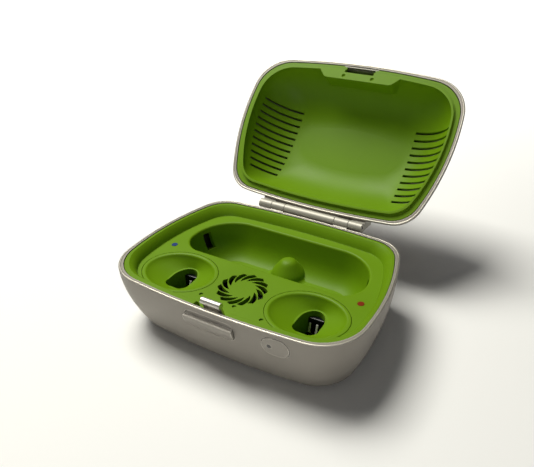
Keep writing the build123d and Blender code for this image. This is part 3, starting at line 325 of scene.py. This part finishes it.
MOULD_GRAIN = make_mould_grain()
EDGE_WEAR_AND_HIGHLIGHT = make_edge_wear_and_highlight()
SETTLED_DUST = make_settled_dust()
DRAWN_LINES = make_drawn_lines()


# ---------------------------------------------------------------- finishes


def use_group(tree, group, inputs):
    """Places a shader node group in a material with its own values."""
    return lay(tree, "Group", inputs, node_tree=group)


def start_finish(name):
    """A new material with its shader; the caller wires the rest."""
    material = bpy.data.materials.new(name)
    material.use_nodes = True
    tree = material.node_tree
    return material, tree, tree.nodes["Principled BSDF"]


def wire_surface(tree, shader, look, height, depth, corner):
    """Wires a look's tone and roughness to a shader, with a bump over softly rounded corners."""
    soft_corner = lay(tree, "Bevel", {"Radius": corner}, samples=CORNER_SAMPLES)
    bump = lay(
        tree,
        "Bump",
        {"Strength": 1.0, "Distance": depth, "Height": height, "Normal": soft_corner.outputs[0]},
    )
    tree.links.new(look.outputs["Tone"], shader.inputs["Base Color"])
    tree.links.new(look.outputs["Roughness"], shader.inputs["Roughness"])
    tree.links.new(bump.outputs[0], shader.inputs["Normal"])


def moulded(
    name,
    tone,
    gloss,
    tone_change=0.12,
    gloss_change=0.14,
    grain=2600.0,
    grain_depth=0.012 * MM,
    edge_tone=None,
    edge_amount=0.35,
    edge_width=0.4 * MM,
    dust=0.025,
    metallic=0.0,
    coat=0.0,
    sheen=0.0,
    shine=0.35,
    corner=0.25 * MM,
):
    """Injection-moulded plastic or rubber, as moulded or sprayed, with lighter edges that are partly wear
    and partly a painted highlight.
    """
    lighter = edge_tone or tuple(min(1.0, value * 1.35 + 0.02) for value in tone)
    edge_gloss = max(0.12, gloss - 0.15)
    coat_roughness = 0.3
    material, tree, shader = start_finish(name)
    body = use_group(
        tree,
        MOULD_GRAIN,
        {
            "Tone": (*tone, 1),
            "Tone Change": tone_change,
            "Grain Per Metre": grain,
            "Gloss": gloss,
            "Gloss Change": gloss_change,
        },
    )
    edge = use_group(
        tree,
        EDGE_WEAR_AND_HIGHLIGHT,
        {
            "Tone": body.outputs["Tone"],
            "Edge Tone": (*lighter, 1),
            "Edge Width": edge_width,
            "Amount": edge_amount,
            "Roughness": body.outputs["Roughness"],
            "Edge Roughness": edge_gloss,
        },
    )
    dusty = use_group(
        tree,
        SETTLED_DUST,
        {"Tone": edge.outputs["Tone"], "Amount": dust, "Roughness": edge.outputs["Roughness"]},
    )
    wire_surface(tree, shader, dusty, body.outputs["Height"], grain_depth, corner)
    shader.inputs["Metallic"].default_value = metallic
    shader.inputs["Specular IOR Level"].default_value = shine
    shader.inputs["Coat Weight"].default_value = coat
    shader.inputs["Coat Roughness"].default_value = coat_roughness
    shader.inputs["Sheen Weight"].default_value = sheen
    return material


def metal(name, tone, roughness, tone_change=0.12, roughness_change=0.14, edge_amount=0.6):
    """Bare or plated metal with drawn or turned lines and bright corners."""
    lines_per_metre, line_depth = 9000.0, 0.004 * MM
    edge_width, corner = 0.3 * MM, 0.2 * MM
    brighter = tuple(min(1.0, value * 1.2) for value in tone)
    edge_roughness = max(0.1, roughness - 0.1)
    material, tree, shader = start_finish(name)
    body = use_group(
        tree,
        DRAWN_LINES,
        {
            "Tone": (*tone, 1),
            "Tone Change": tone_change,
            "Lines Per Metre": lines_per_metre,
            "Roughness": roughness,
            "Roughness Change": roughness_change,
        },
    )
    edge = use_group(
        tree,
        EDGE_WEAR_AND_HIGHLIGHT,
        {
            "Tone": body.outputs["Tone"],
            "Edge Tone": (*brighter, 1),
            "Edge Width": edge_width,
            "Amount": edge_amount,
            "Roughness": body.outputs["Roughness"],
            "Edge Roughness": edge_roughness,
        },
    )
    wire_surface(tree, shader, edge, body.outputs["Height"], line_depth, corner)
    shader.inputs["Metallic"].default_value = 1.0
    return material


# What sprayed satin surfaces share, and what the green mouldings share.
SATIN = {"tone_change": 0.05, "gloss_change": 0.1, "grain": 4200.0}
GREEN = {"gloss_change": 0.16, "edge_amount": 0.3, "dust": 0.003}

MOULDED = {
    "champagne_shell": dict(
        SATIN,
        tone=(0.282, 0.26, 0.227),
        gloss=0.5,
        grain_depth=0.01 * MM,
        edge_tone=(0.8, 0.76, 0.68),
        edge_amount=0.8,
        edge_width=0.5 * MM,
        dust=0.02,
        metallic=0.25,
    ),
    "champagne_button": dict(
        SATIN,
        tone=(0.298, 0.275, 0.24),
        gloss=0.42,
        grain_depth=0.004 * MM,
        # The bright edge tone, full amount and wide edge paint the thin highlight line along the latch
        # ledge's top edge.
        edge_tone=(1.0, 0.95, 0.86),
        edge_amount=1.0,
        edge_width=0.7 * MM,
        dust=0.02,
        metallic=0.25,
        corner=0.6 * MM,
    ),
    "hinge_metal": dict(
        SATIN,
        tone=(0.455, 0.435, 0.378),
        gloss=0.5,
        grain_depth=0.004 * MM,
        edge_tone=(0.65, 0.62, 0.55),
        edge_amount=0.5,
        edge_width=0.3 * MM,
        dust=0.01,
        metallic=0.4,
    ),
    "green_liner": dict(GREEN, tone=(0.13, 0.255, 0.0035), gloss=0.44, shine=0.15),
    "green_cup": dict(GREEN, tone=(0.133, 0.262, 0.003), gloss=0.42, shine=0.16, grain_depth=0.01 * MM),
    "black_block": dict(
        tone=(0.006, 0.008, 0.009),
        gloss=0.22,
        tone_change=0.3,
        gloss_change=0.1,
        grain_depth=0.004 * MM,
        edge_amount=0.1,
        dust=0.01,
        corner=0.1 * MM,
    ),
    "blue_dot": dict(
        tone=(0.014, 0.04, 0.16), gloss=0.5, tone_change=0.2, gloss_change=0.15, dust=0.0, shine=0.15
    ),
    "red_dot": dict(
        tone=(0.2, 0.022, 0.004), gloss=0.6, tone_change=0.2, gloss_change=0.15, dust=0.0, shine=0.1
    ),
    "grey_rubber": dict(
        tone=(0.035, 0.035, 0.036),
        gloss=0.75,
        tone_change=0.3,
        gloss_change=0.2,
        grain=1500.0,
        grain_depth=0.03 * MM,
        sheen=0.1,
    ),
    "black_fan": dict(tone=(0.014, 0.014, 0.015), gloss=0.5, tone_change=0.3, gloss_change=0.15),
    "white_duct": dict(tone=(0.62, 0.61, 0.55), gloss=0.5, gloss_change=0.15),
    "heater_ceramic": dict(
        tone=(0.68, 0.62, 0.5),
        gloss=0.7,
        tone_change=0.2,
        gloss_change=0.2,
        grain=1400.0,
        grain_depth=0.03 * MM,
    ),
    "circuit_board": dict(
        tone=(0.01, 0.09, 0.03),
        gloss=0.3,
        tone_change=0.35,
        gloss_change=0.2,
        grain=1800.0,
        grain_depth=0.008 * MM,
        coat=0.3,
    ),
    "black_chip": dict(tone=(0.015, 0.015, 0.016), gloss=0.45, tone_change=0.3, gloss_change=0.15),
    "clear_lens": dict(
        tone=(0.02, 0.018, 0.016),
        gloss=0.12,
        tone_change=0.2,
        gloss_change=0.05,
        grain_depth=0.002 * MM,
        coat=0.6,
    ),
    "lead_jacket": dict(tone=(0.32, 0.014, 0.01), gloss=0.4, tone_change=0.15, gloss_change=0.15),
}

METALS = {
    "polished_rim": dict(
        tone=(0.6, 0.565, 0.49), roughness=0.45, tone_change=0.06, roughness_change=0.08, edge_amount=0.2
    ),
    "hook_metal": dict(
        tone=(0.66, 0.64, 0.58), roughness=0.46, tone_change=0.1, roughness_change=0.1, edge_amount=0.3
    ),
    "contact_metal": dict(
        tone=(0.98, 0.96, 0.9), roughness=0.75, tone_change=0.03, roughness_change=0.1
    ),
    "ballast_steel": dict(
        tone=(0.3, 0.3, 0.31), roughness=0.45, tone_change=0.25, roughness_change=0.2
    ),
    "screw_steel": dict(tone=(0.5, 0.5, 0.51), roughness=0.28),
    "motor_steel": dict(tone=(0.46, 0.46, 0.48), roughness=0.32),
    "fin_aluminium": dict(tone=(0.72, 0.73, 0.75), roughness=0.35),
    "pin_steel": dict(tone=(0.6, 0.6, 0.61), roughness=0.22),
    "spring_steel": dict(tone=(0.45, 0.45, 0.43), roughness=0.3),
    "catch_steel": dict(tone=(0.13, 0.125, 0.11), roughness=0.42),
}

FINISHES = {name: moulded(name, **look) for name, look in MOULDED.items()}
FINISHES.update({name: metal(name, **look) for name, look in METALS.items()})

for part in frame["record"]["subparts"]:
    for material_slot in frame["nodes"][part["node"]].material_slots:
        material_slot.material = FINISHES[part["material_slot"]]


# ---------------------------------------------------------------- polished rims


def add_mesh(name, shape):
    """Turns a finished shape into an object of the scene."""
    mesh = bpy.data.meshes.new(name)
    shape.to_mesh(mesh)
    shape.free()
    piece = bpy.data.objects.new(name, mesh)
    bpy.context.scene.collection.objects.link(piece)
    return piece


def lid_closing():
    """The turn about the hinge that shuts the open lid, as a matrix."""
    hinge = next(joint for joint in frame["joints"] if joint["name"] == "lid_hinge_pivot")
    middle = Matrix.Translation(Vector(hinge["pos_m"]))
    return middle @ Matrix.Rotation(math.radians(hinge["range_deg"][1]), 4, "X") @ middle.inverted()


def rim_line(node, flat, top):
    """The outer edge of a shell's rim, evenly spaced round the case, with the shell laid flat."""
    points = [flat @ corner.co for corner in frame["nodes"][node].data.vertices]
    level = max(p.z for p in points) if top else min(p.z for p in points)
    spread = bmesh.new()
    for p in points:
        if abs(p.z - level) < RIM_LEVEL_SLACK:
            spread.verts.new((p.x, p.y, 0))
    bmesh.ops.convex_hull(spread, input=spread.verts)
    corners = sorted(
        (corner.co.xy.copy() for corner in spread.verts if corner.link_edges),
        key=lambda p: math.atan2(p.y, p.x),
    )
    spread.free()
    following = corners[1:] + corners[:1]
    steps = [(after - corner).length for corner, after in zip(corners, following)]
    spacing = sum(steps) / RIM_PLACES
    line, walked, index = [], 0.0, 0
    for place in range(RIM_PLACES):
        while walked + steps[index] < place * spacing:
            walked += steps[index]
            index += 1
        share = (place * spacing - walked) / steps[index]
        line.append(corners[index].lerp(following[index], share))
    return line, level


def polish_rim(name, node, flat, top, body):
    """A narrow diamond-cut band over the outer corner of a shell's rim."""
    line, level = rim_line(node, flat, top)
    up = 1 if top else -1
    shape = bmesh.new()
    rings = []
    for index, p in enumerate(line):
        ahead = line[(index + 2) % RIM_PLACES] - line[index - 2]
        out = Vector((ahead.y, -ahead.x, 0)).normalized()
        rings.append(
            [
                shape.verts.new((p.x + out.x * far, p.y + out.y * far, level + up * rise))
                for far, rise in BAND_SECTION
            ]
        )
    for index, ring in enumerate(rings):
        following = rings[(index + 1) % RIM_PLACES]
        for corner in range(len(BAND_SECTION)):
            after = (corner + 1) % len(BAND_SECTION)
            shape.faces.new((ring[corner], following[corner], following[after], ring[after]))
    bmesh.ops.recalc_face_normals(shape, faces=shape.faces)
    bmesh.ops.transform(shape, matrix=flat.inverted(), verts=shape.verts)
    band = add_mesh(name, shape)
    for face in band.data.polygons:
        face.use_smooth = True
    band.data.materials.append(FINISHES["polished_rim"])
    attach(band, body)


polish_rim("base_rim_band", "base_shell", Matrix.Identity(4), True, "case")
polish_rim("lid_rim_band", "lid_shell", lid_closing(), False, "lid")


# ---------------------------------------------------------------- studio


def build_camera():
    """The view of the open dryer from its front right, above."""
    back = Vector(
        (
            math.sin(CAMERA_AZIMUTH) * math.cos(CAMERA_ELEVATION),
            -math.cos(CAMERA_AZIMUTH) * math.cos(CAMERA_ELEVATION),
            math.sin(CAMERA_ELEVATION),
        )
    )
    right = Vector((math.cos(CAMERA_AZIMUTH), math.sin(CAMERA_AZIMUTH), 0))
    up = back.cross(right)
    side = math.cos(CAMERA_ROLL) * right + math.sin(CAMERA_ROLL) * up
    top = math.cos(CAMERA_ROLL) * up - math.sin(CAMERA_ROLL) * right
    lens = bpy.data.cameras.new("studio_camera")
    lens.sensor_width = CAMERA_SENSOR
    lens.lens = CAMERA_LENS
    lens.shift_x, lens.shift_y = CAMERA_SHIFT
    lens.clip_start = CAMERA_NEAR
    camera = bpy.data.objects.new("studio_camera", lens)
    turn = Matrix((side, top, back)).transposed().to_4x4()
    camera.matrix_world = Matrix.Translation(CAMERA_PLACE) @ turn
    bpy.context.scene.collection.objects.link(camera)
    bpy.context.scene.camera = camera


def hang_light(name, place, aim, size, power, tone=(1, 1, 1), spread=180.0):
    """A soft square light at a place, turned to what it lights; its beam's spread is in degrees."""
    lamp = bpy.data.lights.new(name, "AREA")
    lamp.shape = "SQUARE"
    lamp.size = size
    lamp.energy = power
    lamp.color = tone
    lamp.spread = math.radians(spread)
    light = bpy.data.objects.new(name, lamp)
    light.location = place
    light.rotation_euler = (Vector(aim) - Vector(place)).to_track_quat("-Z", "Y").to_euler()
    bpy.context.scene.collection.objects.link(light)


def build_floor():
    """One large pale board, level with the underside of the rubber foot."""
    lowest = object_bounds()[0][2]
    shape = bmesh.new()
    bmesh.ops.create_grid(
        shape, x_segments=FLOOR_SQUARES, y_segments=FLOOR_SQUARES, size=FLOOR_REACH
    )
    bmesh.ops.translate(shape, verts=shape.verts, vec=(0, 0, lowest))
    floor = add_mesh("pale_floor", shape)
    material, tree, shader = start_finish("pale_floor")
    shade = use_group(
        tree,
        MOULD_GRAIN,
        {
            "Tone": (0.92, 0.92, 0.91, 1),
            "Tone Change": 0.02,
            "Grain Per Metre": 900.0,
            "Flow Per Metre": 2.0,
            "Gloss": 0.8,
            "Gloss Change": 0.05,
        },
    )
    tree.links.new(shade.outputs["Tone"], shader.inputs["Base Color"])
    tree.links.new(shade.outputs["Roughness"], shader.inputs["Roughness"])
    floor.data.materials.append(material)


def build_sky():
    """Even faint light from all round."""
    world = bpy.data.worlds.new("studio_sky")
    world.use_nodes = True
    sky = world.node_tree.nodes["Background"]
    sky.inputs["Color"].default_value = (1.0, 1.0, 1.0, 1)
    sky.inputs["Strength"].default_value = SKY_STRENGTH
    bpy.context.scene.world = world


build_camera()
build_floor()
build_sky()
hang_light(
    "overhead_softbox",
    place=(-0.36, 0.1, 0.78),
    aim=(0, 0.02, 0.03),
    size=0.46,
    power=9.0,
    tone=(1.0, 0.985, 0.91),
)
hang_light(
    "front_softbox",
    place=(0.14, -0.85, 0.1),
    aim=(0, 0, 0.01),
    size=0.36,
    power=1.2,
    tone=(1.0, 0.985, 0.94),
)
hang_light("right_fill", place=(0.7, -0.35, 0.2), aim=(0, 0, 0.03), size=0.5, power=0.3)
hang_light(
    "floor_wash", place=(-0.3, 0.9, 1.4), aim=(-0.5, 1.4, 0), size=0.8, power=28.0, spread=94.0
)

bpy.context.scene.view_settings.view_transform = "Standard"
